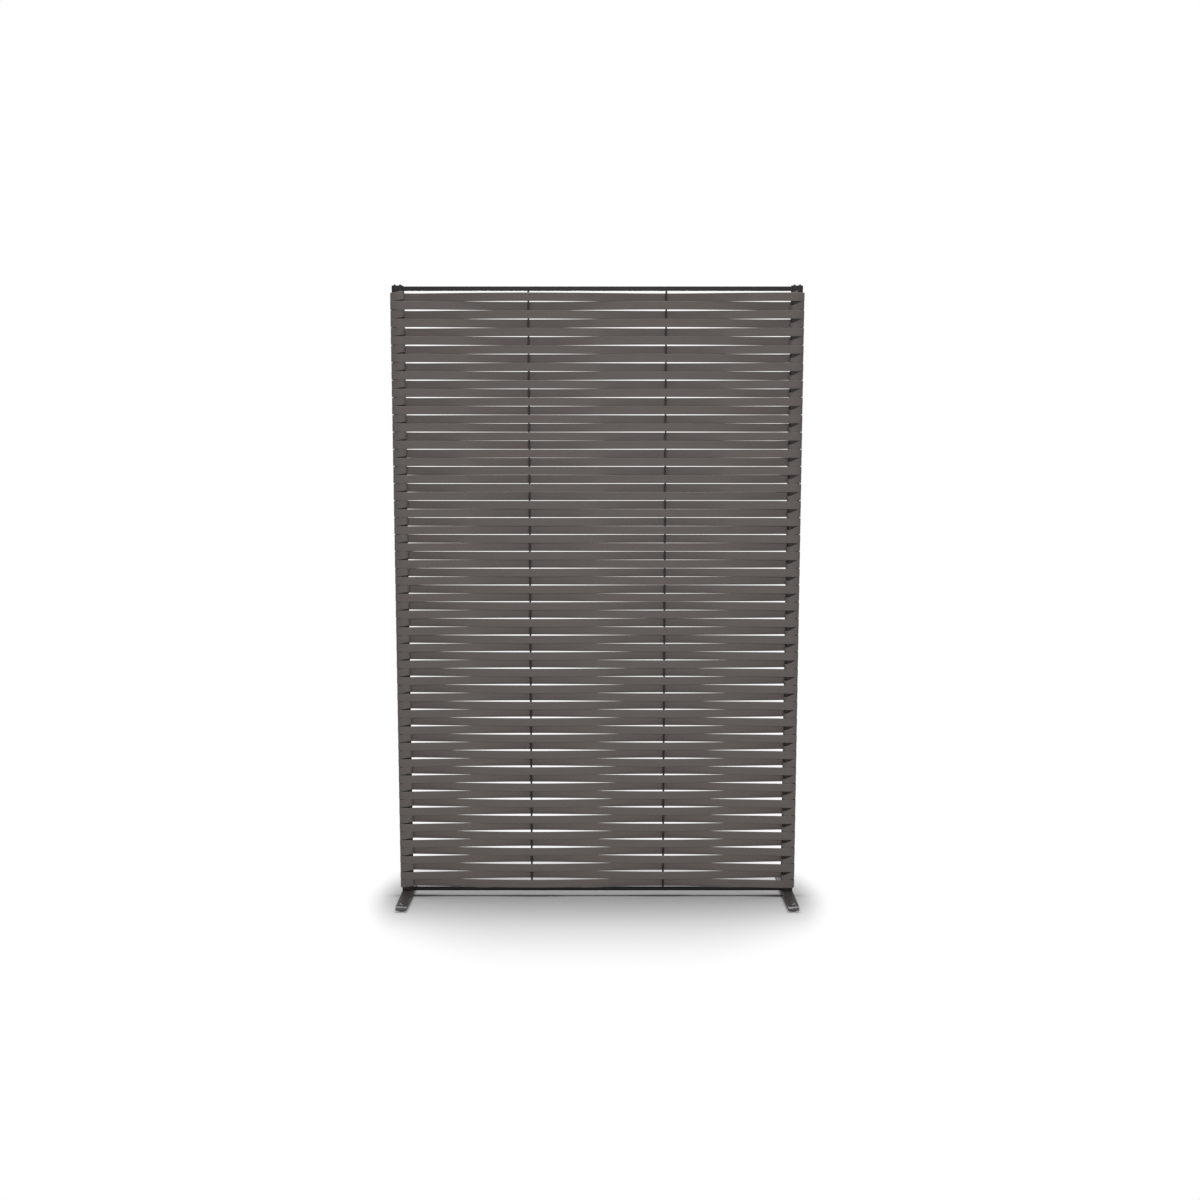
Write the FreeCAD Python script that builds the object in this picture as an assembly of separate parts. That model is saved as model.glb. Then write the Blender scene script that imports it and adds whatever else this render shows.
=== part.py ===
import FreeCAD, Part
import math
import os

# Free-standing garden privacy screen: a metal frame on two feet, filled with one flat strap
# that is woven in rows round two posts and two uprights.
# Millimetres. +Z is up, +X is to the right and -Y is the front. The origin is on the floor,
# under the middle of the screen.

# Overall
overall_height = 1800.0       # floor to the ridges of the post caps
post_spacing = 1138.0         # between the middles of the two posts
upright_spacing = 393.0       # between the middles of the two uprights
foot_length = 300.0           # front tip to back tip

# Frame tubes and bars
post_width = 34.0
post_depth = 16.0
post_wall = 1.5
post_corner = 6.5
top_rail_height = 12.5
bottom_rail_height = 10.0
rail_depth = 12.0
rail_wall = 1.2
rail_corner = 3.0
upright_width = 5.0
upright_depth = 16.0
upright_corner = 0.8

# Post caps
cap_plate = 2.2
cap_edge = 0.8
cap_ridge_height = 2.8
cap_ridge_width = 6.5
cap_ridge_offset = 8.0        # middle of the cap to the middle of a ridge
cap_ridge_inset = 2.0         # end of a ridge to the edge of the cap
cap_skirt = 14.0
cap_skirt_wall = 2.0

# Feet
foot_width = 34.0
foot_bar_height = 12.0
foot_wall = 1.5
foot_corner = 2.5
nose_length = 6.0             # end cap outside the tube
nose_corner = 5.0             # seen from above
nose_edge = 4.5               # seen from the side
foot_skirt = 10.0             # end cap inside the tube
foot_skirt_wall = 2.0

# Levelling glides
glide_setback = 24.0          # foot tip to the glide's axis
glide_pad_radius = 13.0
glide_pad_height = 4.5
glide_pad_edge = 1.2
glide_stud_radius = 4.0
glide_stud_seat = 3.0         # depth of the stud in its pad
glide_stud_clear = 0.7        # stud's top to the plug above it
glide_travel = 6.0
glide_grip = 2.5              # thread above the foot's underside, beyond the travel
glide_slot_width = 1.2
glide_slot_depth = 2.0
insert_wall = 1.6
insert_flange_radius = 8.0
insert_flange = 0.9
plug_leg_radius = 5.0
plug_leg_extra = 0.3          # below the foot's top wall
plug_rim = 2.0                # rim outside the leg
plug_head = 2.0
plug_round = 1.6              # edge of the head

# Foot screws
screw_spacing = 17.0
screw_radius = 3.0
screw_head_radius = 5.0
screw_head_height = 3.5
screw_socket_radius = 2.3
screw_socket_depth = 2.0
screw_end = 1.0               # beyond the nut plate
washer_radius = 5.8
washer_thickness = 1.0
tool_hole_radius = 7.0
nut_plate_thickness = 6.0

# Woven strap
strap_width = 24.0
strap_thickness = 1.8
narrow_gap = 0.1              # below an odd row
wide_gap = 1.2                # below an even row
bottom_gap = 0.2              # lowest row to the bottom rail
top_gap = 4.0                 # least space between the highest row and the top rail
upright_bend = 1700.0         # soft bend of a row over an upright, at most
post_bend = 900.0             # soft bend of a row where it leaves a post
post_leave = 24.0             # a post's inner side to the middle of that bend
side_bow = 2.7                # space under a wrap at a post's outer side
left_wrap_rise = 4.5          # front wrap on the left post, from outer to inner side
right_wrap_drop = 11.0        # front wrap on the right post, from outer to inner side
rows_per_length = 6
splice_gap = 1.0
first_tail_rise = 6.5         # free end on the front of the right post
first_tail_turn = 1.5
first_tail_reach = 1.0        # free end to the middle of the post
last_tail_reach = 10.0        # last end past the middle of the post

# Rivets that hold the strap's ends
rivet_radius = 1.6
rivet_head_radius = 3.2
rivet_head = 1.0
rivet_bulb_radius = 2.5
rivet_bulb = 3.0
splice_rivet_offset = 6.5     # middle of the post to a splice rivet

# Clearances
lay_gap = 0.2                 # strap to what it lies on
lead = 1.0                    # straight strap before and after a bend
fit_gap = 0.1                 # plugs, skirts and plates in tubes
hole_gap = 0.05               # rivets, threads and sliding studs
seat_gap = 0.02               # stud moulded into its pad
stop_gap = 0.1                # glide pad to its stop
screw_hole_gap = 0.3          # screws through the foot

# Worked-out levels
foot_bottom = glide_pad_height + stop_gap + insert_flange
foot_top = foot_bottom + foot_bar_height
post_top = overall_height - cap_ridge_height - cap_plate
post_length = post_top - foot_top
post_x = post_spacing / 2
bottom_rail_top = foot_top + bottom_rail_height
top_rail_bottom = post_top - top_rail_height
upright_x = upright_spacing / 2

Vector = FreeCAD.Vector
X_AXIS = Vector(1, 0, 0)
Y_AXIS = Vector(0, 1, 0)
Z_AXIS = Vector(0, 0, 1)
CENTRE = Vector(0, 0, 0)
SIDES = {"left": -1, "right": 1}
ENDS = {"front": -1, "back": 1}


def bar(width, depth, length, corner):
    """Solid bar along +Z from z = 0, with its long edges rounded."""
    solid = Part.makeBox(width, depth, length, Vector(-width / 2, -depth / 2, 0))
    long_edges = [e for e in solid.Edges if abs(e.tangentAt(e.FirstParameter).z) > 0.9]
    return solid.makeFillet(corner, long_edges)


def tube(width, depth, length, wall, corner):
    """Rectangular tube along +Z from z = 0."""
    bore_corner = max(corner - wall, 0.3)
    return bar(width, depth, length, corner).cut(
        bar(width - 2 * wall, depth - 2 * wall, length, bore_corner))


def along_x(shape):
    return shape.rotated(CENTRE, Y_AXIS, 90)


def along_y(shape):
    return shape.rotated(CENTRE, X_AXIS, -90)


def rod(radius, low, high, x=0.0, y=0.0):
    """Upright cylinder between two levels."""
    return Part.makeCylinder(radius, high - low, Vector(x, y, low), Z_AXIS)


def sized_inside(width, depth, wall):
    """Size of a piece that fits in a rectangular tube."""
    return width - 2 * wall - 2 * fit_gap, depth - 2 * wall - 2 * fit_gap


# Frame

def make_post(side):
    post = tube(post_width, post_depth, post_length, post_wall, post_corner)
    return post.translated(Vector(side * post_x, 0, foot_top))


def make_rail(low, height):
    """Rail between two levels, its ends shaped to the rounded sides of the posts."""
    rail = along_x(tube(height, rail_depth, post_spacing, rail_wall, rail_corner))
    rail = rail.translated(Vector(-post_spacing / 2, 0, low + height / 2))
    for side in SIDES.values():
        solid_post = bar(post_width, post_depth, post_length + 2, post_corner)
        rail = rail.cut(solid_post.translated(Vector(side * post_x, 0, foot_top - 1)))
    return max(rail.Solids, key=lambda solid: solid.Volume)


def make_upright(side):
    length = top_rail_bottom - bottom_rail_top
    upright = bar(upright_width, upright_depth, length, upright_corner)
    return upright.translated(Vector(side * upright_x, 0, bottom_rail_top))


def make_post_cap(side):
    plate = bar(post_width, post_depth, cap_plate, post_corner)
    rim = [e for e in plate.Edges if min(v.Z for v in e.Vertexes) > cap_plate - 0.01]
    plate = plate.makeFillet(cap_edge, rim)
    ridge_depth = post_depth - 2 * cap_ridge_inset
    ridges = []
    for way in (-1, 1):
        ridge = along_y(bar(cap_ridge_width, 2 * cap_ridge_height, ridge_depth, cap_ridge_width / 3))
        place = Vector(way * cap_ridge_offset, -ridge_depth / 2, cap_plate)
        ridges.append(ridge.translated(place))
    width, depth = sized_inside(post_width, post_depth, post_wall)
    skirt = tube(width, depth, cap_skirt, cap_skirt_wall, max(post_corner - post_wall, 0.3))
    above = Part.makeBox(post_width, post_depth, cap_plate + 2 * cap_ridge_height,
                         Vector(-post_width / 2, -post_depth / 2, 0))
    ridges = [ridge.common(above) for ridge in ridges]
    cap = plate.multiFuse(ridges + [skirt.translated(Vector(0, 0, -cap_skirt))]).removeSplitter()
    return cap.translated(Vector(side * post_x, 0, post_top))


# Feet

def glide_y(end):
    return end * (foot_length / 2 - glide_setback)


def screw_places(side):
    return [side * post_x + way * screw_spacing / 2 for way in (-1, 1)]


def insert_radius():
    return glide_stud_radius + hole_gap + insert_wall


def make_foot(side):
    x = side * post_x
    length = foot_length - 2 * nose_length
    foot = along_y(tube(foot_width, foot_bar_height, length, foot_wall, foot_corner))
    foot = foot.translated(Vector(x, -length / 2, foot_bottom + foot_bar_height / 2))
    middle = foot_bottom + foot_bar_height / 2
    holes = []
    for end in ENDS.values():
        holes.append(rod(insert_radius() + fit_gap, foot_bottom - 1, middle, x, glide_y(end)))
        holes.append(rod(plug_leg_radius + fit_gap, middle, foot_top + 1, x, glide_y(end)))
    for place in screw_places(side):
        holes.append(rod(tool_hole_radius, foot_bottom - 1, middle, place))
        holes.append(rod(screw_radius + screw_hole_gap, middle, foot_top + 1, place))
    return foot.cut(Part.makeCompound(holes))


def make_foot_cap(side, end):
    """Rounded nose of the foot, with a hollow skirt inside the tube. Built pointing to +Y."""
    section = along_y(bar(foot_width, foot_bar_height, nose_length, foot_corner))
    seen_above = Part.makeBox(foot_width, 2 * nose_length, foot_bar_height,
                              Vector(-foot_width / 2, -nose_length, -foot_bar_height / 2))
    tip_sides = [e for e in seen_above.Edges
                 if abs(e.tangentAt(e.FirstParameter).z) > 0.9 and e.Vertexes[0].Y > 0]
    seen_above = seen_above.makeFillet(nose_corner, tip_sides)
    seen_aside = Part.makeBox(foot_width, 2 * nose_length, foot_bar_height,
                              Vector(-foot_width / 2, -nose_length, -foot_bar_height / 2))
    tip_edges = [e for e in seen_aside.Edges
                 if abs(e.tangentAt(e.FirstParameter).x) > 0.9 and e.Vertexes[0].Y > 0]
    seen_aside = seen_aside.makeFillet(nose_edge, tip_edges)
    nose = section.common(seen_above).common(seen_aside)
    width, height = sized_inside(foot_width, foot_bar_height, foot_wall)
    skirt = along_y(tube(width, height, foot_skirt, foot_skirt_wall, max(foot_corner - foot_wall, 0.3)))
    cap = nose.fuse(skirt.translated(Vector(0, -foot_skirt, 0))).removeSplitter()
    if end < 0:
        cap = cap.rotated(CENTRE, Z_AXIS, 180)
    place = Vector(side * post_x, end * (foot_length / 2 - nose_length), foot_bottom + foot_bar_height / 2)
    return cap.translated(place)


def make_nut_plate(side):
    width, depth = sized_inside(post_width, post_depth, post_wall)
    plate = bar(width, depth, nut_plate_thickness, max(post_corner - post_wall, 0.3))
    plate = plate.translated(Vector(side * post_x, 0, foot_top))
    high = foot_top + nut_plate_thickness + 1
    for place in screw_places(side):
        plate = plate.cut(rod(screw_radius + hole_gap, foot_top - 1, high, place))
    return plate


def make_washers(side):
    high = foot_top - foot_wall
    low = high - washer_thickness
    return [rod(washer_radius, low, high, place).cut(rod(screw_radius + hole_gap, low - 1, high + 1, place))
            for place in screw_places(side)]


def make_screws(side):
    seat = foot_top - foot_wall - washer_thickness
    head_bottom = seat - screw_head_height
    screws = []
    for place in screw_places(side):
        head = rod(screw_head_radius, head_bottom, seat, place)
        shank = rod(screw_radius, seat, foot_top + nut_plate_thickness + screw_end, place)
        socket = rod(screw_socket_radius, head_bottom - 1, head_bottom + screw_socket_depth, place)
        screws.append(head.fuse(shank).cut(socket).removeSplitter())
    return screws


# Levelling glides

def plug_bottom():
    return foot_top - foot_wall - plug_leg_extra


def make_glide_pad(side, end):
    pad = rod(glide_pad_radius, 0, glide_pad_height)
    rim = [e for e in pad.Edges
           if e.Vertexes[0].Z > glide_pad_height - 0.01 and e.Length > glide_pad_radius * 2]
    pad = pad.makeFillet(glide_pad_edge, rim)
    seat = rod(glide_stud_radius + seat_gap, glide_pad_height - glide_stud_seat, glide_pad_height + 1)
    return pad.cut(seat).translated(Vector(side * post_x, glide_y(end), 0))


def make_glide_stud(side, end):
    top = plug_bottom() - glide_stud_clear
    stud = rod(glide_stud_radius, glide_pad_height - glide_stud_seat, top)
    slot = Part.makeBox(2 * glide_stud_radius + 2, glide_slot_width, glide_slot_depth + 1,
                        Vector(-glide_stud_radius - 1, -glide_slot_width / 2, top - glide_slot_depth))
    return stud.cut(slot).translated(Vector(side * post_x, glide_y(end), 0))


def make_insert(side, end):
    flange = rod(insert_flange_radius, foot_bottom - insert_flange, foot_bottom)
    sleeve = rod(insert_radius(), foot_bottom - insert_flange, foot_bottom + glide_travel + glide_grip)
    thread = rod(glide_stud_radius + hole_gap, 0, foot_top)
    insert = flange.fuse(sleeve).cut(thread).removeSplitter()
    return insert.translated(Vector(side * post_x, glide_y(end), 0))


def make_plug(side, end):
    """Low rounded head over a leg that drops into the hole in the foot's top wall."""
    radius = plug_leg_radius + plug_rim
    head = rod(radius, foot_top, foot_top + plug_head)
    edge = [e for e in head.Edges if e.Vertexes[0].Z > foot_top + plug_head / 2 and e.Length > radius * 2]
    head = head.makeFillet(min(plug_round, plug_head * 0.9), edge)
    plug = head.fuse(rod(plug_leg_radius, plug_bottom(), foot_top)).removeSplitter()
    return plug.translated(Vector(side * post_x, glide_y(end), 0))


# Woven strap

pair_pitch = 2 * strap_width + narrow_gap + wide_gap
weave_height = top_rail_bottom - bottom_rail_top - bottom_gap - top_gap
pair_count = int((weave_height - strap_width) / pair_pitch)
row_count = 2 * pair_count + 1
top_row_middle = bottom_rail_top + bottom_gap + pair_count * pair_pitch + strap_width / 2

on_post = post_depth / 2 + lay_gap + strap_thickness / 2
over_wrap = on_post + strap_thickness + lay_gap
on_upright = upright_depth / 2 + lay_gap + strap_thickness / 2
wrap_bend = post_corner + lay_gap + strap_thickness / 2
outer_turn = post_width / 2 + side_bow + strap_thickness / 2
inner_turn = post_width / 2 + lay_gap + strap_thickness / 2
outer_joint = outer_turn - wrap_bend - lead
inner_joint = inner_turn - wrap_bend - lead


def row_middle(row):
    """Level of the middle of a row, counted from 1 at the top. Odd rows start the pairs."""
    pair, lower = divmod(row - 1, 2)
    return top_row_middle - pair * pair_pitch - lower * (strap_width + narrow_gap)


def ribbon_side(points, bends, offset):
    """Edges of one side of a flat ribbon seen from above, and that side's two ends.

    Each corner is an arc where its bend has a radius, and a mitre where the bend is 0.
    """
    steps = [(b - a).normalize() for a, b in zip(points, points[1:])]
    normals = [Vector(-step.y, step.x, 0) for step in steps]
    edges = []
    here = points[0] + normals[0] * offset
    first = here
    for corner, bend, before, after, normal, next_normal in zip(
            points[1:-1], bends[1:-1], steps, steps[1:], normals, normals[1:]):
        if bend == 0:
            mitre = (normal + next_normal) / (1 + normal.dot(next_normal))
            there = corner + mitre * offset
            edges.append(Part.makeLine(here, there))
            here = there
            continue
        turn = 1 if before.cross(after).z > 0 else -1
        reach = bend * math.tan(before.getAngle(after) / 2)
        middle = corner - before * reach + normal * (turn * bend)
        radius = bend - turn * offset
        start = middle - normal * (turn * radius)
        end = middle - next_normal * (turn * radius)
        crown = middle - (normal + next_normal).normalize() * (turn * radius)
        edges.append(Part.makeLine(here, start))
        edges.append(Part.Arc(start, crown, end).toShape())
        here = end
    last = points[-1] + normals[-1] * offset
    edges.append(Part.makeLine(here, last))
    return edges, first, last


def ribbon(points, bends, level):
    """Flat strap stood on edge along a path seen from above, with its middle at a level."""
    points = [Vector(x, y, 0) for x, y in points]
    left, left_first, left_last = ribbon_side(points, bends, strap_thickness / 2)
    right, right_first, right_last = ribbon_side(points, bends, -strap_thickness / 2)
    ends = [Part.makeLine(left_first, right_first), Part.makeLine(left_last, right_last)]
    outline = Part.Wire(Part.__sortEdges__(left + right + ends))
    solid = Part.Face(outline).extrude(Vector(0, 0, strap_width))
    return solid.translated(Vector(0, 0, level - strap_width / 2))


def soft_bend():
    """Radius of a row's soft bend over an upright, and how far from the screen's middle plane is
    the corner that it rounds off, so that the bend just lies on the upright (for small angles)."""
    outside = post_x - post_width / 2 - post_leave - upright_x
    steepness = 1 / outside + 1 / upright_x
    reach = on_upright + over_wrap / (outside * steepness)
    bend = min(upright_bend, 1.6 / (steepness ** 2 * reach))
    half_turn = (2 / steepness - math.sqrt(4 / steepness ** 2 - 2 * bend * reach)) / bend
    return bend, on_upright + bend * half_turn ** 2 / 2


def row_path(row):
    """Path of a row from its hook on the left post to its hook on the right post.

    An odd row comes off the back of the left post, passes in front of the left upright and
    behind the right one, and ends on the front of the right post. An even row is its mirror.
    """
    left = -post_x
    bend, corner = soft_bend()
    half = [
        (left - outer_joint, -on_post, 0),
        (left - outer_turn, -on_post, wrap_bend),
        (left - outer_turn, over_wrap, wrap_bend),
        (left + post_width / 2 + post_leave, over_wrap, post_bend),
        (-upright_x, -corner, bend),
    ]
    path = half + [(-x, -y, bend) for x, y, bend in reversed(half)]
    flip = 1 if row % 2 else -1
    return [(x, flip * y) for x, y, bend in path], [bend for x, y, bend in path]


def slanted(side, face, start, end):
    """Strap across the front or back of a post. A start or end is its distance from the
    post's middle, towards the post's outer side, and its level."""
    half = strap_width / 2
    y = face * on_post - strap_thickness / 2
    corners = []
    for (reach, level), edge in ((start, -half), (end, -half), (end, half), (start, half)):
        corners.append(Vector(side * (post_x + reach), y, level + edge))
    outline = Part.makePolygon(corners + corners[:1])
    return Part.Face(outline).extrude(Vector(0, strap_thickness, 0))


def inner_wrap(side, level):
    """Strap round the inner side of a post, from front to back."""
    joint = side * (post_x - inner_joint)
    turn = side * (post_x - inner_turn)
    path = [(joint, -on_post), (turn, -on_post), (turn, on_post), (joint, on_post)]
    return ribbon(path, [0, wrap_bend, wrap_bend, 0], level)


def turn_levels(row):
    """Side of the turn below a row, the level at the inner side and the level of the next row."""
    level = row_middle(row)
    if row % 2:
        return -1, level + left_wrap_rise, row_middle(row + 1)
    return 1, level - right_wrap_drop, row_middle(row + 1)


def turn_below(row):
    """Extra turn of the strap round the post, between a row and the next one."""
    side, inner_level, next_level = turn_levels(row)
    outer = (outer_joint, row_middle(row))
    inner = (-inner_joint, inner_level)
    return [
        slanted(side, -1, outer, inner),
        inner_wrap(side, inner_level),
        slanted(side, 1, inner, (outer_joint, next_level)),
    ]


def splice_levels(row):
    """Levels of the two cut ends behind the right post, below an even row."""
    side, inner_level, next_level = turn_levels(row)
    slope = (next_level - inner_level) / (outer_joint + inner_joint)
    return [inner_level + slope * (inner_joint + reach) for reach in (-splice_gap / 2, splice_gap / 2)]


def rivet_at_splice(row):
    """Place and level of the two rivets below an even row, on the strap that shows there."""
    side, inner_level, next_level = turn_levels(row)
    slope = (next_level - inner_level) / (outer_joint + inner_joint)
    places = []
    for reach in (-splice_rivet_offset, splice_rivet_offset):
        level = inner_level + slope * (inner_joint + reach)
        places.append((side * (post_x + reach), (row_middle(row) + level) / 2 - strap_width / 2, 1))
    return places


def strap_length(first, last):
    """One continuous length of strap, from the first row to the last row."""
    pieces = []
    for row in range(first, last + 1):
        pieces.append(ribbon(*row_path(row), row_middle(row)))
        if row < last:
            pieces += turn_below(row)
    if first == 1:
        level = row_middle(1)
        turn_level = level + first_tail_turn
        inner = (-inner_joint, turn_level)
        pieces += [
            slanted(1, -1, (first_tail_reach, level + first_tail_rise), inner),
            inner_wrap(1, turn_level),
            slanted(1, 1, inner, (outer_joint, level)),
        ]
    else:
        cut_level = splice_levels(first - 1)[1]
        pieces.append(slanted(1, 1, (splice_gap / 2, cut_level), (outer_joint, row_middle(first))))
    side, inner_level, next_level = turn_levels(last)
    outer = (outer_joint, row_middle(last))
    inner = (-inner_joint, inner_level)
    pieces += [slanted(side, -1, outer, inner), inner_wrap(side, inner_level)]
    if last == row_count:
        pieces.append(slanted(side, 1, inner, (last_tail_reach, inner_level)))
    else:
        pieces.append(slanted(side, 1, inner, (-splice_gap / 2, splice_levels(last)[0])))
    return pieces[0].multiFuse(pieces[1:]).removeSplitter()


def strap_spans():
    """First and last row of each length. Each length but the last ends on an even row."""
    even_rows = max(2, rows_per_length // 2 * 2)
    firsts = list(range(1, row_count, even_rows))
    lasts = [first - 1 for first in firsts[1:]] + [row_count]
    return list(zip(firsts, lasts))


def rivet_places():
    """x, level and number of strap layers under each rivet's head, all on the posts' backs."""
    places = [(post_x, row_middle(1), 1)]
    for first, last in strap_spans()[:-1]:
        places += rivet_at_splice(last)
    places.append((-post_x, row_middle(row_count), 2))
    return places


def rivet_holes():
    radius = rivet_radius + hole_gap
    low = post_depth / 2 - 2 * post_wall
    length = over_wrap + strap_thickness - low
    return [Part.makeCylinder(radius, length, Vector(x, low, level), Y_AXIS)
            for x, level, layers in rivet_places()]


def make_rivet(x, level, layers):
    wall_inside = post_depth / 2 - post_wall
    bulb_end = wall_inside - rivet_bulb
    seat = post_depth / 2 + layers * (lay_gap + strap_thickness)
    bulb = Part.makeCylinder(rivet_bulb_radius, rivet_bulb, Vector(x, bulb_end, level), Y_AXIS)
    shank = Part.makeCylinder(rivet_radius, seat - wall_inside, Vector(x, wall_inside, level), Y_AXIS)
    head = Part.makeCylinder(rivet_head_radius, rivet_head, Vector(x, seat, level), Y_AXIS)
    rim = [e for e in head.Edges
           if e.Vertexes[0].Y > seat + rivet_head / 2 and e.Length > rivet_head_radius * 2]
    return head.makeFillet(rivet_head * 0.7, rim).multiFuse([bulb, shank]).removeSplitter()


def pierced(shape, holes):
    """The shape with the rivet holes that reach it."""
    near = [hole for hole in holes if shape.BoundBox.intersect(hole.BoundBox)]
    return shape.cut(Part.makeCompound(near)) if near else shape


def build():
    holes = rivet_holes()
    parts = {}
    screws, washers, inserts, plugs = [], [], [], []
    for name, side in SIDES.items():
        parts[f"{name}_post"] = pierced(make_post(side), holes)
        parts[f"{name}_upright"] = make_upright(side)
        parts[f"{name}_post_cap"] = make_post_cap(side)
        parts[f"{name}_post_nut_plate"] = make_nut_plate(side)
        parts[f"{name}_foot"] = make_foot(side)
        screws += make_screws(side)
        washers += make_washers(side)
        for end_name, end in ENDS.items():
            parts[f"{name}_{end_name}_foot_cap"] = make_foot_cap(side, end)
            parts[f"{name}_{end_name}_glide_pad"] = make_glide_pad(side, end)
            parts[f"{name}_{end_name}_glide_stud"] = make_glide_stud(side, end)
            inserts.append(make_insert(side, end))
            plugs.append(make_plug(side, end))
    parts["top_rail"] = make_rail(top_rail_bottom, top_rail_height)
    parts["bottom_rail"] = make_rail(foot_top, bottom_rail_height)
    parts["foot_screws"] = Part.makeCompound(screws)
    parts["foot_washers"] = Part.makeCompound(washers)
    parts["glide_inserts"] = Part.makeCompound(inserts)
    parts["adjuster_plugs"] = Part.makeCompound(plugs)
    parts["strap_rivets"] = Part.makeCompound([make_rivet(*place) for place in rivet_places()])
    for number, (first, last) in enumerate(strap_spans(), start=1):
        parts[f"strap_length_{number:02d}"] = pierced(strap_length(first, last), holes)
    return parts


os.makedirs("parts", exist_ok=True)
model = build()
for node, shape in model.items():
    shape.exportStep(f"parts/{node}.step")
    print(node, len(shape.Solids), "solids", round(shape.Volume / 1000, 2), "cm3", shape.isValid())
print(row_count, "rows, two rows in", round(pair_pitch, 2), "mm, the top one at", round(top_row_middle, 2))
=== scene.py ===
import math

import bpy
import numpy as np
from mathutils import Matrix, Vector


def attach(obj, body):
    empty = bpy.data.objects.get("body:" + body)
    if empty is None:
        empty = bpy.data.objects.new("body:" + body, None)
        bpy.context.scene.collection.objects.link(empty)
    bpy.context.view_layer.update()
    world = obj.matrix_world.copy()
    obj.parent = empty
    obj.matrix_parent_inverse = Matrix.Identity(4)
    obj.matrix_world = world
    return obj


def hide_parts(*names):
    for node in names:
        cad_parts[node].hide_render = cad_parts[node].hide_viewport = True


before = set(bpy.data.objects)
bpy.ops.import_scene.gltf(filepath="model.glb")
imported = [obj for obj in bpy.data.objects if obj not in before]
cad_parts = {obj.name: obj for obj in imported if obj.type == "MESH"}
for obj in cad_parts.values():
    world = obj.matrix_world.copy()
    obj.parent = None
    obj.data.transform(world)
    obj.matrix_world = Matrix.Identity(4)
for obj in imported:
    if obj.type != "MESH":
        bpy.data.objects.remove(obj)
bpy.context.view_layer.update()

millimetre = 0.001


# Shader maths

class Wire:
    # one output socket; an expression on it adds Math nodes to its tree
    def __init__(self, tree, socket):
        self.tree = tree
        self.socket = socket

    def math(self, operation, *values):
        return addNode(self.tree, "ShaderNodeMath", {"operation": operation},
                       dict(enumerate(values)))

    def __add__(self, other):
        return self.math("ADD", self, other)

    def __radd__(self, other):
        return self.math("ADD", other, self)

    def __sub__(self, other):
        return self.math("SUBTRACT", self, other)

    def __rsub__(self, other):
        return self.math("SUBTRACT", other, self)

    def __mul__(self, other):
        return self.math("MULTIPLY", self, other)

    def __rmul__(self, other):
        return self.math("MULTIPLY", other, self)

    def __truediv__(self, other):
        return self.math("DIVIDE", self, other)

    def __pow__(self, other):
        return self.math("POWER", self, other)

    def __abs__(self):
        return self.math("ABSOLUTE", self)

    def larger(self, other):
        return self.math("MAXIMUM", self, other)

    def sine(self):
        return self.math("SINE", self)


def addNode(tree, kind, settings=None, sockets=None, output=0):
    # settings go in first, then each socket gets its number, colour or link
    made = tree.nodes.new(kind)
    for name, value in (settings or {}).items():
        setattr(made, name, value)
    for name, value in (sockets or {}).items():
        if isinstance(value, Wire):
            tree.links.new(value.socket, made.inputs[name])
        else:
            made.inputs[name].default_value = value
    return Wire(tree, made.outputs[output]) if made.outputs else None


def colour(red, green, blue):
    # display values from 0 to 255, as linear light
    display = np.array([red, green, blue]) / 255
    linear = np.where(display <= 0.04045, display / 12.92, ((display + 0.055) / 1.055) ** 2.4)
    return (*linear.tolist(), 1.0)


def newMaterial(name):
    material = bpy.data.materials.new(name)
    material.use_nodes = True
    tree = material.node_tree
    tree.nodes.clear()
    return material, tree


def objectPlace(tree):
    return addNode(tree, "ShaderNodeTexCoord", output="Object")


def noise(tree, place, size, detail):
    # size is the width of one blotch, in metres
    return addNode(tree, "ShaderNodeTexNoise", {"noise_dimensions": "3D"},
                   {"Vector": place, "Scale": 1 / size, "Detail": detail}, output="Fac")


def flatNoise(tree, place, scale, detail):
    # scale is the number of blotches in a metre of the strap's own layout
    return addNode(tree, "ShaderNodeTexNoise", {"noise_dimensions": "2D"},
                   {"Vector": place, "Scale": scale, "Detail": detail}, output="Fac")


def blend(tree, amount, low, high):
    return addNode(tree, "ShaderNodeMix", {"data_type": "RGBA"},
                   {0: amount, 6: low, 7: high}, output=2)


def finishSurface(material, tree, baseColour, roughness, height, relief, **constants):
    # relief is the height of the bump in metres; constants are set on the shader's own sockets
    bump = addNode(tree, "ShaderNodeBump", None, {"Strength": 1.0, "Distance": relief, "Height": height})
    sockets = {"Base Color": baseColour, "Roughness": roughness, "Normal": bump}
    sockets.update({name.replace("_", " "): value for name, value in constants.items()})
    surface = addNode(tree, "ShaderNodeBsdfPrincipled", None, sockets)
    addNode(tree, "ShaderNodeOutputMaterial", None, {"Surface": surface})
    return material


# Powder coat on the tubes: dark warm grey, with a fine orange peel. The feet are a little lighter than
# the posts and the top rail, which is painted light standing in for the light on their tops, and the
# bottom rail a little darker, which is painted shade standing in for the shade under the lowest row of
# straps.

powderCoat = {
    "frame": {"dark": colour(38, 34, 34), "light": colour(46, 41, 41)},
    # painted light: the feet's copy of the coat is lighter, standing in for the light on their tops
    "foot": {"dark": colour(60, 55, 55), "light": colour(72, 66, 66)},
    # painted shade: the bottom rail's copy of the coat is darker, standing in for the shade under the
    # lowest row
    "low": {"dark": colour(22, 20, 20), "light": colour(28, 25, 25)},
    "roughness": 0.42,
    "shine": 0.12,
    "peelSize": 0.0011,
    "peelHeight": 0.00004,
    "speckSize": 0.0003,
    "speckRelief": 0.3,
    "cloudSize": 0.06,
    "cloudShare": 0.6,       # of the change in colour; specks make the rest
    "cloudRough": 0.10,
    "peelRough": 0.08,
}


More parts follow.
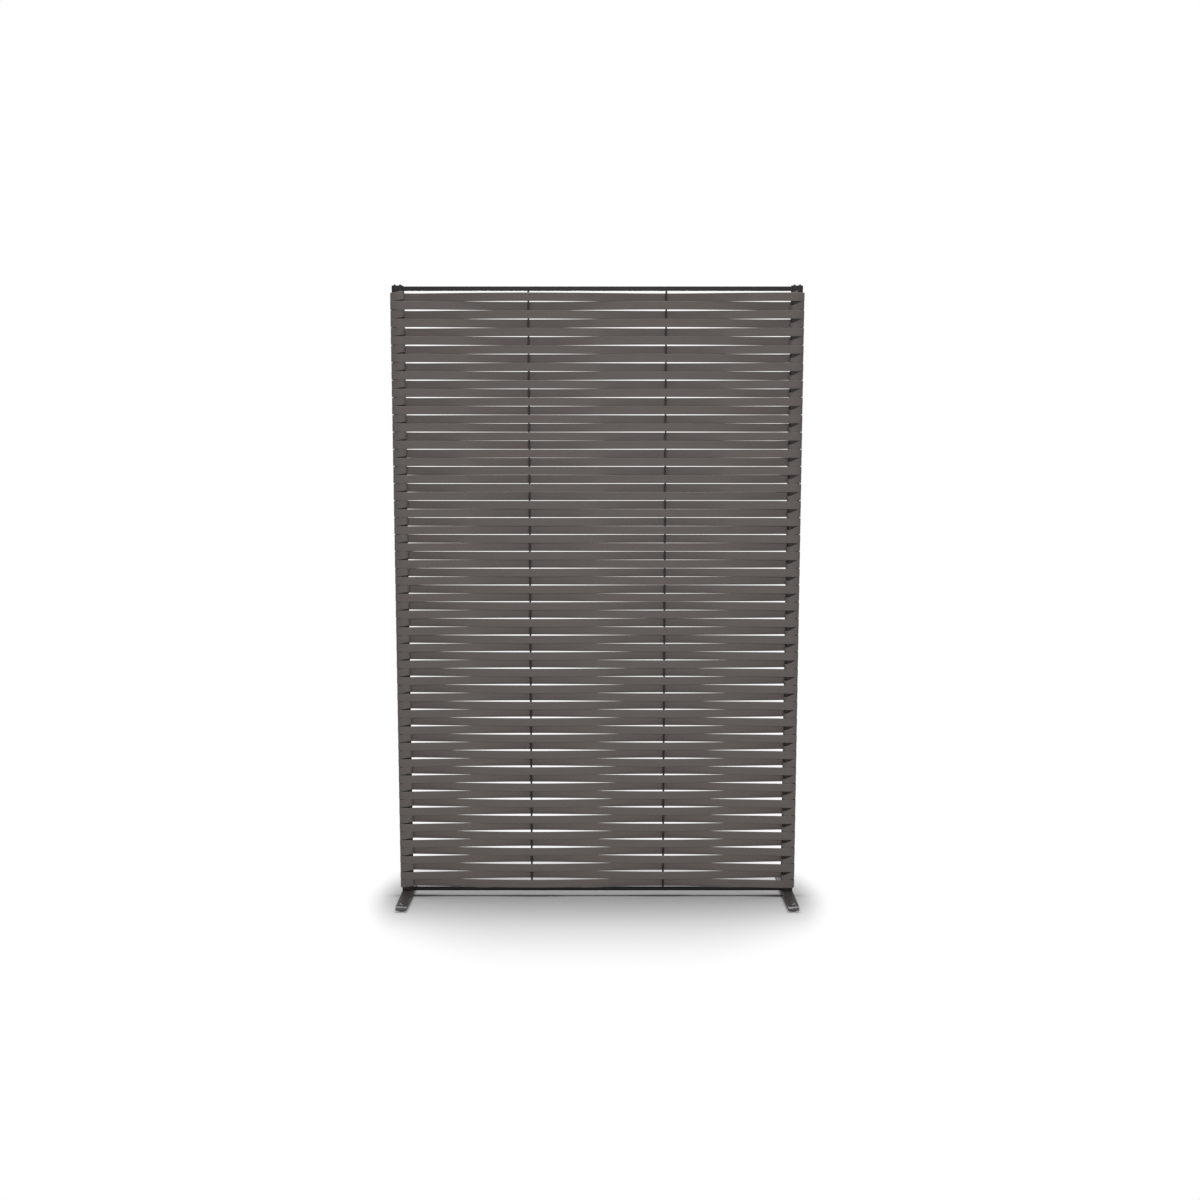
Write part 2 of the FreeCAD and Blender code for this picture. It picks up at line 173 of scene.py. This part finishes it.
def makePowderCoat(name, shades):
    material, tree = newMaterial(name)
    place = objectPlace(tree)
    peel = noise(tree, place, powderCoat["peelSize"], 1.0)
    speck = noise(tree, place, powderCoat["speckSize"], 2.0)
    cloud = noise(tree, place, powderCoat["cloudSize"], 3.0)
    share = powderCoat["cloudShare"]
    tone = blend(tree, cloud * share + speck * (1 - share), shades["dark"], shades["light"])
    roughness = (powderCoat["roughness"] + (cloud - 0.5) * powderCoat["cloudRough"]
                 + (peel - 0.5) * powderCoat["peelRough"])
    height = peel + speck * powderCoat["speckRelief"]
    return finishSurface(material, tree, tone, roughness, height, powderCoat["peelHeight"],
                         Specular_IOR_Level=powderCoat["shine"])


# Woven strap: matt taupe-grey plastic band with fine lines along its length

strapFinish = {
    "dark": colour(100, 93, 90),
    "light": colour(113, 106, 102),
    "roughness": 0.55,
    "shine": 0.2,
    "lineSpacing": 0.00095,
    "lineHeight": 0.00006,
    "lineWander": 0.0006,            # how far a line strays from straight
    "wanderScale": 14.0,
    "streakScale": (9.0, 900.0),     # along and across the strap
    "fineScale": 2600.0,
    "toneShares": (0.55, 0.35, 0.10),    # streaks, wander, fine
    "roughShares": (0.16, 0.06),         # streaks, fine
    "reliefShares": (0.6, 0.8, 0.25),    # lines, streaks, fine
}


def makeStrapMaterial():
    material, tree = newMaterial("wovenStrap")
    along = addNode(tree, "ShaderNodeUVMap", {"uv_map": "strapLay"})
    length = addNode(tree, "ShaderNodeSeparateXYZ", None, {"Vector": along}, output="X")
    across = addNode(tree, "ShaderNodeSeparateXYZ", None, {"Vector": along}, output="Y")
    wander = flatNoise(tree, along, strapFinish["wanderScale"], 1.0)
    stretch = strapFinish["streakScale"]
    stretched = addNode(tree, "ShaderNodeCombineXYZ", None,
                        {"X": length * stretch[0], "Y": across * stretch[1]})
    streaks = flatNoise(tree, stretched, 1.0, 3.0)
    fine = flatNoise(tree, along, strapFinish["fineScale"], 2.0)
    turn = (across + wander * strapFinish["lineWander"]) * (2 * math.pi / strapFinish["lineSpacing"])
    lines = turn.sine() * 0.5 + 0.5
    ofStreaks, ofWander, ofFine = strapFinish["toneShares"]
    tone = blend(tree, streaks * ofStreaks + wander * ofWander + fine * ofFine,
                 strapFinish["dark"], strapFinish["light"])
    ofStreaks, ofFine = strapFinish["roughShares"]
    roughness = strapFinish["roughness"] + (streaks - 0.5) * ofStreaks + (fine - 0.5) * ofFine
    ofLines, ofStreaks, ofFine = strapFinish["reliefShares"]
    height = lines * ofLines + streaks * ofStreaks + fine * ofFine
    return finishSurface(material, tree, tone, roughness, height, strapFinish["lineHeight"],
                         Specular_IOR_Level=strapFinish["shine"])


# Moulded plastic of the end caps, plugs and glides

mouldedPlastic = {
    "postCap": {"dark": colour(18, 17, 17), "light": colour(26, 24, 24), "roughness": 0.30,
                "grain": 0.00002, "shine": 0.2, "gloss": 0.0},
    "footCap": {"dark": colour(30, 28, 28), "light": colour(40, 37, 37), "roughness": 0.16,
                "grain": 0.00001, "shine": 0.9, "gloss": 0.8},
    "glide": {"dark": colour(24, 23, 23), "light": colour(33, 31, 31), "roughness": 0.5,
              "grain": 0.00006, "shine": 0.4, "gloss": 0.0},
    "grainSize": 0.0005,
    "grainRough": 0.06,
    "cloudSize": 0.02,
    "cloudRough": 0.08,
    "glossRoughness": 0.06,
}


def makePlastic(name, values):
    material, tree = newMaterial(name)
    place = objectPlace(tree)
    grain = noise(tree, place, mouldedPlastic["grainSize"], 2.0)
    cloud = noise(tree, place, mouldedPlastic["cloudSize"], 2.0)
    tone = blend(tree, cloud, values["dark"], values["light"])
    roughness = (values["roughness"] + (cloud - 0.5) * mouldedPlastic["cloudRough"]
                 + (grain - 0.5) * mouldedPlastic["grainRough"])
    return finishSurface(material, tree, tone, roughness, grain, values["grain"],
                         Specular_IOR_Level=values["shine"], Coat_Weight=values["gloss"],
                         Coat_Roughness=mouldedPlastic["glossRoughness"])


# Plated steel of the screws and nut plates, and bare rivets

bareMetal = {
    "zinc": {"dark": colour(150, 152, 150), "light": colour(188, 190, 186), "roughness": 0.34},
    "rivet": {"dark": colour(120, 118, 116), "light": colour(150, 147, 144), "roughness": 0.38},
    "spangleSize": 1 / 900,
    "spangleShare": 0.5,     # of the change in colour; clouds make the rest
    "spangleRough": 0.05,
    "cloudSize": 0.004,
    "cloudRough": 0.2,
    "relief": 0.00002,
    "metallic": 0.9,
}


def makeMetal(name, values):
    material, tree = newMaterial(name)
    place = objectPlace(tree)
    spangle = addNode(tree, "ShaderNodeTexVoronoi", {"voronoi_dimensions": "3D"},
                      {"Vector": place, "Scale": 1 / bareMetal["spangleSize"]}, output="Distance")
    cloud = noise(tree, place, bareMetal["cloudSize"], 3.0)
    share = bareMetal["spangleShare"]
    tone = blend(tree, spangle * share + cloud * (1 - share), values["dark"], values["light"])
    roughness = (values["roughness"] + (cloud - 0.5) * bareMetal["cloudRough"]
                 + (spangle - 0.5) * bareMetal["spangleRough"])
    return finishSurface(material, tree, tone, roughness, cloud, bareMetal["relief"],
                         Metallic=bareMetal["metallic"])


finishes = {
    "frameCoat": makePowderCoat("frameCoat", powderCoat["frame"]),
    # lighter copy of the frame's coat: painted light on the feet
    "litFootCoat": makePowderCoat("litFootCoat", powderCoat["foot"]),
    # darker copy of the frame's coat: painted shade on the bottom rail
    "shadedRailCoat": makePowderCoat("shadedRailCoat", powderCoat["low"]),
    "strap": makeStrapMaterial(),
    "postCapPlastic": makePlastic("postCapPlastic", mouldedPlastic["postCap"]),
    "footCapPlastic": makePlastic("footCapPlastic", mouldedPlastic["footCap"]),
    "glidePlastic": makePlastic("glidePlastic", mouldedPlastic["glide"]),
    "zincSteel": makeMetal("zincSteel", bareMetal["zinc"]),
    "rivet": makeMetal("rivetMetal", bareMetal["rivet"]),
}
print("materials made:", ", ".join(finishes))


# Mesh code

def newPiece(name, points, faces, material):
    mesh = bpy.data.meshes.new(name)
    mesh.from_pydata(points.tolist(), [], faces)
    mesh.polygons.foreach_set("use_smooth", np.ones(len(mesh.polygons), bool))
    mesh.materials.append(finishes[material])
    piece = bpy.data.objects.new(name, mesh)
    bpy.context.scene.collection.objects.link(piece)
    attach(piece, "screen")
    return piece


def gridFaces(rows, columns):
    # quads between neighbours on a grid whose columns close into a ring
    steps = np.arange(rows - 1)[:, None]
    ring = np.arange(columns)[None, :]
    ahead = (ring + 1) % columns
    after = steps + 1
    quads = np.stack([steps * columns + ring, steps * columns + ahead,
                      after * columns + ahead, after * columns + ring], axis=-1)
    return quads.reshape(-1, 4)


# The strap. Lengths are millimetres here and metres in the mesh.

strap = {
    "width": 23.8,
    "thickness": 1.8,
    "rows": 71,
    "topRow": 1765.2,        # middle of the highest row
    "pairPitch": 49.3,       # from one odd row to the next
    "lowerStep": 23.9,       # from an odd row to the even row below it
    "ride": 0.37,            # how much higher a row runs where it is in front
    "rideFrom": 17.0,        # from a post's middle to where this starts
    "rideOver": 30.0,        # and the stretch over which it grows
    "crown": 1.1,            # how much the strap bulges in the middle of a post's front
    "crownHalf": 13.5,       # half the width of the bulge
    "postX": 569.0,          # middle of a post
    "postLeave": 528.0,      # middle of the soft bend where a row leaves a post
    "postBend": 900.0,       # radius of that bend
    "uprightX": 196.5,
    "uprightCorner": 13.38,  # depth of the corner that the bend over an upright rounds off
    "uprightBend": 1700.0,
    "onFrame": 9.1,          # middle of the strap where it lies on a post
    "overWrap": 11.1,        # the same where it lies over another turn
    "outerTurn": 20.6,       # from a post's middle to the strap on its outer side
    "innerTurn": 18.1,       # and to the extra turn on its inner side
    "wrapBend": 7.6,         # radius of the turns round a post
    "leftRise": 4.5,         # how much higher than its row the extra turn lies on the left post
    "rightDrop": 11.0,       # and how much lower on the right post
    "corners": 14,           # power of the section's oval: the higher, the squarer
    "splits": [6, 12, 18, 24, 30, 36, 42, 48, 54, 60, 66],   # rows below which two lengths meet
    "splitGap": 0.5,         # half the gap between them
    "firstTail": (1.0, 6.5, 1.5),    # start in front of the right post: reach, rise, rise of its turn
    "lastTail": 10.0,        # end behind the left post, past its middle
    "tilt": 0.45,            # degrees of slow twist between the posts
    "tiltWaves": (260, 141, 83),     # lengths of the three waves of the twist, each by 2 pi
    "tiltEnd": 540,          # where the twist is held by a post
    "tiltOver": 60,
    "postStep": 6,           # longest step of the mesh on a post, and between the posts
    "openStep": 24,
    "climbSteps": 9,         # fewest steps where the level changes
    "arcSteps": 4,           # fewest steps of an arc
    "arcShare": 7,           # steps of a tight arc for each radian
    "arcStep": 12,           # longest step of a wide arc
    "sameSpot": 1e-4,        # points nearer than this are one
    "sameLevel": 0.01,
}


def rowLevel(row):
    pair, lower = divmod(row - 1, 2)
    return strap["topRow"] - pair * strap["pairPitch"] - lower * strap["lowerStep"]


def rowKnots(row):
    # corners of a row's middle line, in the direction in which the strap was woven
    post, wrap, over = strap["postX"], strap["outerTurn"], strap["overWrap"]
    half = [(-post - wrap, -strap["onFrame"], strap["wrapBend"]),
            (-post - wrap, over, strap["wrapBend"]),
            (-strap["postLeave"], over, strap["postBend"]),
            (-strap["uprightX"], -strap["uprightCorner"], strap["uprightBend"])]
    path = half + [(-x, -y, bend) for x, y, bend in reversed(half)]
    level = rowLevel(row)
    if row % 2:
        return [(x, y, level, bend) for x, y, bend in reversed(path)]
    return [(x, -y, level, bend) for x, y, bend in path]


def turnKnots(row):
    # the extra turn round the post's inner side, at the end of a row
    side = -1 if row % 2 else 1
    level = rowLevel(row) + (strap["leftRise"] if side < 0 else -strap["rightDrop"])
    x = side * (strap["postX"] - strap["innerTurn"])
    rest = strap["onFrame"]
    return [(x, -rest, level, strap["wrapBend"]), (x, rest, level, strap["wrapBend"])]


def splitKnot(row, way):
    # cut end behind the right post below a row; way is -1 for the end above, 1 for the start below
    reach = strap["innerTurn"] - strap["wrapBend"]
    outer = strap["outerTurn"] - strap["wrapBend"]
    inner = rowLevel(row) - strap["rightDrop"]
    slope = (rowLevel(row + 1) - inner) / (outer + reach)
    level = inner + slope * (reach + way * strap["splitGap"])
    return (strap["postX"] + way * strap["splitGap"], strap["onFrame"], level, 0.0)


def lengthKnots(first, last):
    knots = []
    if first == 1:
        reach, rise, turn = strap["firstTail"]
        x = strap["postX"] - strap["innerTurn"]
        level = rowLevel(1)
        knots = [(strap["postX"] + reach, -strap["onFrame"], level + rise, 0.0),
                 (x, -strap["onFrame"], level + turn, strap["wrapBend"]),
                 (x, strap["onFrame"], level + turn, strap["wrapBend"])]
    else:
        knots = [splitKnot(first - 1, 1)]
    for row in range(first, last + 1):
        knots += rowKnots(row)
        knots += turnKnots(row)
    if last == strap["rows"]:
        level = rowLevel(last) + strap["leftRise"]
        knots.append((-strap["postX"] - strap["lastTail"], strap["onFrame"], level, 0.0))
    else:
        knots.append(splitKnot(last, -1))
    return np.array(knots)


def roundedLine(knots):
    # Straight runs between corners, each corner replaced by an arc that touches both runs.
    # The level stays the same round an arc and changes evenly from one arc to the next.
    plan, level, bend = knots[:, :2], knots[:, 2], knots[:, 3]
    step = np.diff(plan, axis=0)
    step /= np.linalg.norm(step, axis=1)[:, None]
    points, levels = [plan[:1]], [level[:1]]
    here = plan[0]
    for corner in range(1, len(plan) - 1):
        before, after = step[corner - 1], step[corner]
        cross = before[0] * after[1] - before[1] * after[0]
        angle = math.atan2(abs(cross), before @ after)
        reach = bend[corner] * math.tan(angle / 2)
        start = plan[corner] - before * reach
        turn = math.copysign(1.0, cross)
        middle = start + turn * bend[corner] * np.array([-before[1], before[0]])
        samples = max(strap["arcSteps"], int(angle * strap["arcShare"]),
                      int(bend[corner] * angle / strap["arcStep"]))
        sweep = np.linspace(0, turn * angle, samples)
        arm = start - middle
        arc = middle + np.stack([arm[0] * np.cos(sweep) - arm[1] * np.sin(sweep),
                                 arm[0] * np.sin(sweep) + arm[1] * np.cos(sweep)], axis=1)
        addRun(points, levels, here, start, levels[-1][-1], level[corner])
        points.append(arc)
        levels.append(np.full(len(arc), level[corner]))
        here = arc[-1]
    addRun(points, levels, here, plan[-1], levels[-1][-1], level[-1])
    points.append(plan[-1:])
    levels.append(level[-1:])
    return np.concatenate(points), np.concatenate(levels)


def addRun(points, levels, start, end, low, high):
    # points of a straight run between two arcs, without its ends
    distance = np.linalg.norm(end - start)
    onPost = abs(start[0] + end[0]) / 2 > strap["postLeave"]
    climbs = abs(high - low) > strap["sameLevel"]
    longest = strap["postStep"] if onPost else strap["openStep"]
    count = max(strap["climbSteps"] if climbs else 1, int(distance / longest))
    share = np.linspace(0, 1, count + 1)[1:-1]
    if len(share):
        points.append(start + (end - start) * share[:, None])
        levels.append(low + (high - low) * share)


def strapSection():
    # closed loop of (out, up): a flat oval, |out / half thickness|^2 + |up / half width|^corners = 1,
    # with its points close together where it turns
    spots = np.array([0, 0.35, 0.65, 0.82, 0.91, 0.96, 0.985, 0.998])
    up = np.concatenate([-spots[::-1], spots[1:]])
    out = np.sqrt(1 - np.abs(up) ** strap["corners"])
    return np.stack([np.concatenate([out, -out]), np.concatenate([up, up[::-1]])], axis=1) * [
        strap["thickness"] / 2, strap["width"] / 2]


def strapSurface(first, last, seed):
    # point(along, round) = middle line(along) + out(round) * sideways normal + up(round) * Z,
    # with the section turned by a small angle that changes slowly along the row.
    # On a post's front the middle line bulges by crown * (1 - (from post / crownHalf)^2)^1.5,
    # and away from the posts a row lies higher in front and lower behind, by up to ride.
    plan, level = roundedLine(lengthKnots(first, last))
    apart = np.linalg.norm(np.diff(plan, axis=0), axis=1) > strap["sameSpot"]
    keep = np.concatenate([[True], apart])
    plan, level = plan[keep], level[keep]
    fromPost = np.abs(plan[:, 0]) - strap["postX"]
    depth = np.clip(plan[:, 1] / strap["onFrame"], -1, 1)
    across = np.clip(fromPost / strap["crownHalf"], -1, 1)
    plan[:, 1] -= strap["crown"] * (1 - across ** 2) ** 1.5 * np.maximum(-depth, 0)
    away = np.clip((-fromPost - strap["rideFrom"]) / strap["rideOver"], 0, 1)
    level = level - strap["ride"] * depth * away
    travel = np.concatenate([[0], np.cumsum(np.linalg.norm(np.diff(plan, axis=0), axis=1))])
    tangent = np.gradient(plan, travel, axis=0)
    tangent /= np.linalg.norm(tangent, axis=1)[:, None]
    normal = np.stack([tangent[:, 1], -tangent[:, 0]], axis=1)
    waves = strap["tiltWaves"]
    phases = np.random.default_rng(seed).uniform(0, 2 * math.pi, len(waves))
    wave = sum(np.sin(travel / size + phase) for size, phase in zip(waves, phases)) / len(waves)
    free = np.clip((strap["tiltEnd"] - np.abs(plan[:, 0])) / strap["tiltOver"], 0, 1)
    turn = np.radians(strap["tilt"]) * wave * free
    section = strapSection()
    out = section[None, :, 0] * np.cos(turn)[:, None] - section[None, :, 1] * np.sin(turn)[:, None]
    up = section[None, :, 0] * np.sin(turn)[:, None] + section[None, :, 1] * np.cos(turn)[:, None]
    points = np.empty((len(plan), len(section), 3))
    points[..., :2] = plan[:, None, :] + out[..., None] * normal[:, None, :]
    points[..., 2] = level[:, None] + up
    layout = np.empty((len(plan), len(section), 2))
    layout[..., 0] = travel[:, None]
    layout[..., 1] = section[None, :, 1]
    points = points.reshape(-1, 3) * millimetre
    layout = layout.reshape(-1, 2) * millimetre
    return points, layout, len(plan), len(section)


def makeStrapLength(number, first, last):
    points, layout, along, ring = strapSurface(first, last, number)
    faces = gridFaces(along, ring)
    ends = [list(range(ring))[::-1], [(along - 1) * ring + spot for spot in range(ring)]]
    piece = newPiece(f"strapLength{number:02d}", points, faces.tolist() + ends, "strap")
    mesh = piece.data
    corners = np.empty(len(mesh.loops), np.int32)
    mesh.loops.foreach_get("vertex_index", corners)
    uvMap = mesh.uv_layers.new(name="strapLay")
    uvMap.data.foreach_set("uv", layout[corners].astype(np.float32).ravel())
    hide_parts(f"strap_length_{number:02d}")
    return piece


firstRows = [1] + [row + 1 for row in strap["splits"]]
lastRows = strap["splits"] + [strap["rows"]]
for number, (first, last) in enumerate(zip(firstRows, lastRows), start=1):
    made = makeStrapLength(number, first, last)
print("strap lengths made:", len(firstRows), "with", len(made.data.polygons), "faces in the last one")


# Materials and shading of the CAD nodes

nodeFinishes = {
    "frameCoat": ["left_post", "right_post", "left_upright", "right_upright", "top_rail"],
    # painted shade: the darker copy of the coat on the bottom rail
    "shadedRailCoat": ["bottom_rail"],
    # painted light: the lighter copy of the coat on the feet
    "litFootCoat": ["left_foot", "right_foot"],
    "postCapPlastic": ["left_post_cap", "right_post_cap"],
    "footCapPlastic": ["left_front_foot_cap", "left_back_foot_cap", "right_front_foot_cap",
                       "right_back_foot_cap", "adjuster_plugs"],
    "glidePlastic": ["left_front_glide_pad", "left_back_glide_pad", "right_front_glide_pad",
                     "right_back_glide_pad"],
    "zincSteel": ["left_front_glide_stud", "left_back_glide_stud", "right_front_glide_stud",
                  "right_back_glide_stud", "left_post_nut_plate", "right_post_nut_plate", "foot_screws",
                  "foot_washers", "glide_inserts"],
    "rivet": ["strap_rivets"],
}

nodeShading = {
    "weldReach": 1e-6,       # metres
    "creaseAngle": 28,       # degrees, from which an edge is sharp
    "evenWeight": 100,
}


def dressNode(name, material):
    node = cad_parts[name]
    if not node.material_slots:
        node.data.materials.append(finishes[material])
    for slot in node.material_slots:
        slot.material = finishes[material]
    node.data.polygons.foreach_set("use_smooth", np.ones(len(node.data.polygons), bool))
    weld = node.modifiers.new("weld", "WELD")
    weld.merge_threshold = nodeShading["weldReach"]
    split = node.modifiers.new("split", "EDGE_SPLIT")
    split.split_angle = math.radians(nodeShading["creaseAngle"])
    even = node.modifiers.new("even", "WEIGHTED_NORMAL")
    even.weight = nodeShading["evenWeight"]


for material, names in nodeFinishes.items():
    for name in names:
        dressNode(name, material)
print("CAD nodes dressed:", sum(len(names) for names in nodeFinishes.values()))


# Floor, backdrop, lights and camera

studio = {
    "floorSize": 30.0,
    "floorColour": (0.8, 0.8, 0.8, 1.0),
    "fadeStart": 0.03,        # metres from the object, where the floor starts to turn white
    "fadeEnd": 0.60,
    "sideFade": 4.6,          # how much faster it does so beside the posts
    "endFade": 0.6,           # and in front of the feet
    "worldLevel": 0.09,
}

lamps = {
    "topLamp": {"place": (0.0, 0.0, 3.6), "target": (0.0, 0.0, 0.0), "size": (3.4, 0.6),
                "watts": 89.0},
    "frontLamp": {"place": (0.1, -4.6, 1.6), "target": (0.0, 0.0, 0.9), "size": (2.0, 1.4),
                  "watts": 98.0},
    "backLamp": {"place": (-0.1, 4.6, 1.6), "target": (0.0, 0.0, 0.9), "size": (2.0, 1.4),
                 "watts": 66.0},
}

viewer = {
    "place": (0.0077, -3.9025, 1.3624),
    "pitch": 6.823,          # degrees below level
    "focalLength": 1342.05,  # in pixels of an image this wide
    "imageWidth": 1200,
    "sensorWidth": 36.0,
}


def makeFloor():
    # flat grid at level 0. Its material turns from pale grey to plain white with the distance
    # sqrt((sideFade * past the posts)^2 + (y * (1 + endFade * (x / postX)^4))^2).
    line = np.linspace(-0.5, 0.5, 3) * studio["floorSize"]
    x, y = np.meshgrid(line, line)
    points = np.stack([x.ravel(), y.ravel(), np.zeros(x.size)], axis=1)
    corner = (np.arange(2)[:, None] * 3 + np.arange(2)[None, :]).ravel()
    faces = np.stack([corner, corner + 1, corner + 4, corner + 3], axis=1)
    mesh = bpy.data.meshes.new("floor")
    mesh.from_pydata(points.tolist(), [], faces.tolist())
    floor = bpy.data.objects.new("floor", mesh)
    bpy.context.scene.collection.objects.link(floor)
    material, tree = newMaterial("paleFloor")
    place = objectPlace(tree)
    x = addNode(tree, "ShaderNodeSeparateXYZ", None, {"Vector": place}, output="X")
    y = addNode(tree, "ShaderNodeSeparateXYZ", None, {"Vector": place}, output="Y")
    postX = strap["postX"] * millimetre
    beside = (abs(x) - postX).larger(0.0) * studio["sideFade"]
    ahead = y * (1.0 + studio["endFade"] * (x / postX) ** 4)
    distance = (beside * beside + ahead * ahead) ** 0.5
    fade = addNode(tree, "ShaderNodeMapRange", {"interpolation_type": "SMOOTHSTEP"},
                   {"Value": distance, "From Min": studio["fadeStart"], "From Max": studio["fadeEnd"]})
    seen = showsBackground(tree)
    pale = addNode(tree, "ShaderNodeBsdfDiffuse", None, {"Color": studio["floorColour"]})
    white = addNode(tree, "ShaderNodeEmission", None, {"Color": (1, 1, 1, 1), "Strength": 1.0})
    surface = addNode(tree, "ShaderNodeMixShader", None, {0: fade * seen, 1: pale, 2: white})
    addNode(tree, "ShaderNodeOutputMaterial", None, {"Surface": surface})
    mesh.materials.append(material)
    return floor


def showsBackground(tree):
    camera = addNode(tree, "ShaderNodeLightPath", output="Is Camera Ray")
    glossy = addNode(tree, "ShaderNodeLightPath", output="Is Glossy Ray")
    through = addNode(tree, "ShaderNodeLightPath", output="Is Transmission Ray")
    return camera.larger(glossy).larger(through)


def makeWorld():
    world = bpy.data.worlds.new("studio")
    bpy.context.scene.world = world
    world.use_nodes = True
    tree = world.node_tree
    tree.nodes.clear()
    level = showsBackground(tree) * (1.0 - studio["worldLevel"]) + studio["worldLevel"]
    sky = addNode(tree, "ShaderNodeBackground", None, {"Color": (1, 1, 1, 1), "Strength": level})
    addNode(tree, "ShaderNodeOutputWorld", None, {"Surface": sky})


def makeLamp(name):
    values = lamps[name]
    lamp = bpy.data.lights.new(name, "AREA")
    lamp.shape = "RECTANGLE"
    lamp.size, lamp.size_y = values["size"]
    lamp.energy = values["watts"]
    holder = bpy.data.objects.new(name, lamp)
    holder.location = values["place"]
    aim = Vector(values["target"]) - Vector(values["place"])
    holder.rotation_euler = aim.to_track_quat("-Z", "Y").to_euler()
    bpy.context.scene.collection.objects.link(holder)
    return holder


def spareFloor(floor, *holders):
    # these lamps light the object alone, so that the floor keeps the shadow of the lamp above it
    spared = bpy.data.collections.new("spared")
    spared.objects.link(floor)
    spared.collection_objects[0].light_linking.link_state = "EXCLUDE"
    for holder in holders:
        holder.light_linking.receiver_collection = spared


def makeCamera():
    camera = bpy.data.cameras.new("camera")
    camera.sensor_width = viewer["sensorWidth"]
    camera.lens = viewer["focalLength"] / viewer["imageWidth"] * viewer["sensorWidth"]
    holder = bpy.data.objects.new("camera", camera)
    holder.location = viewer["place"]
    holder.rotation_euler = (math.radians(90 - viewer["pitch"]), 0, 0)
    bpy.context.scene.collection.objects.link(holder)
    bpy.context.scene.camera = holder


floor = makeFloor()
makeWorld()
makeLamp("topLamp")
spareFloor(floor, makeLamp("frontLamp"), makeLamp("backLamp"))
makeCamera()
bpy.context.scene.view_settings.view_transform = "Standard"
print("studio ready")
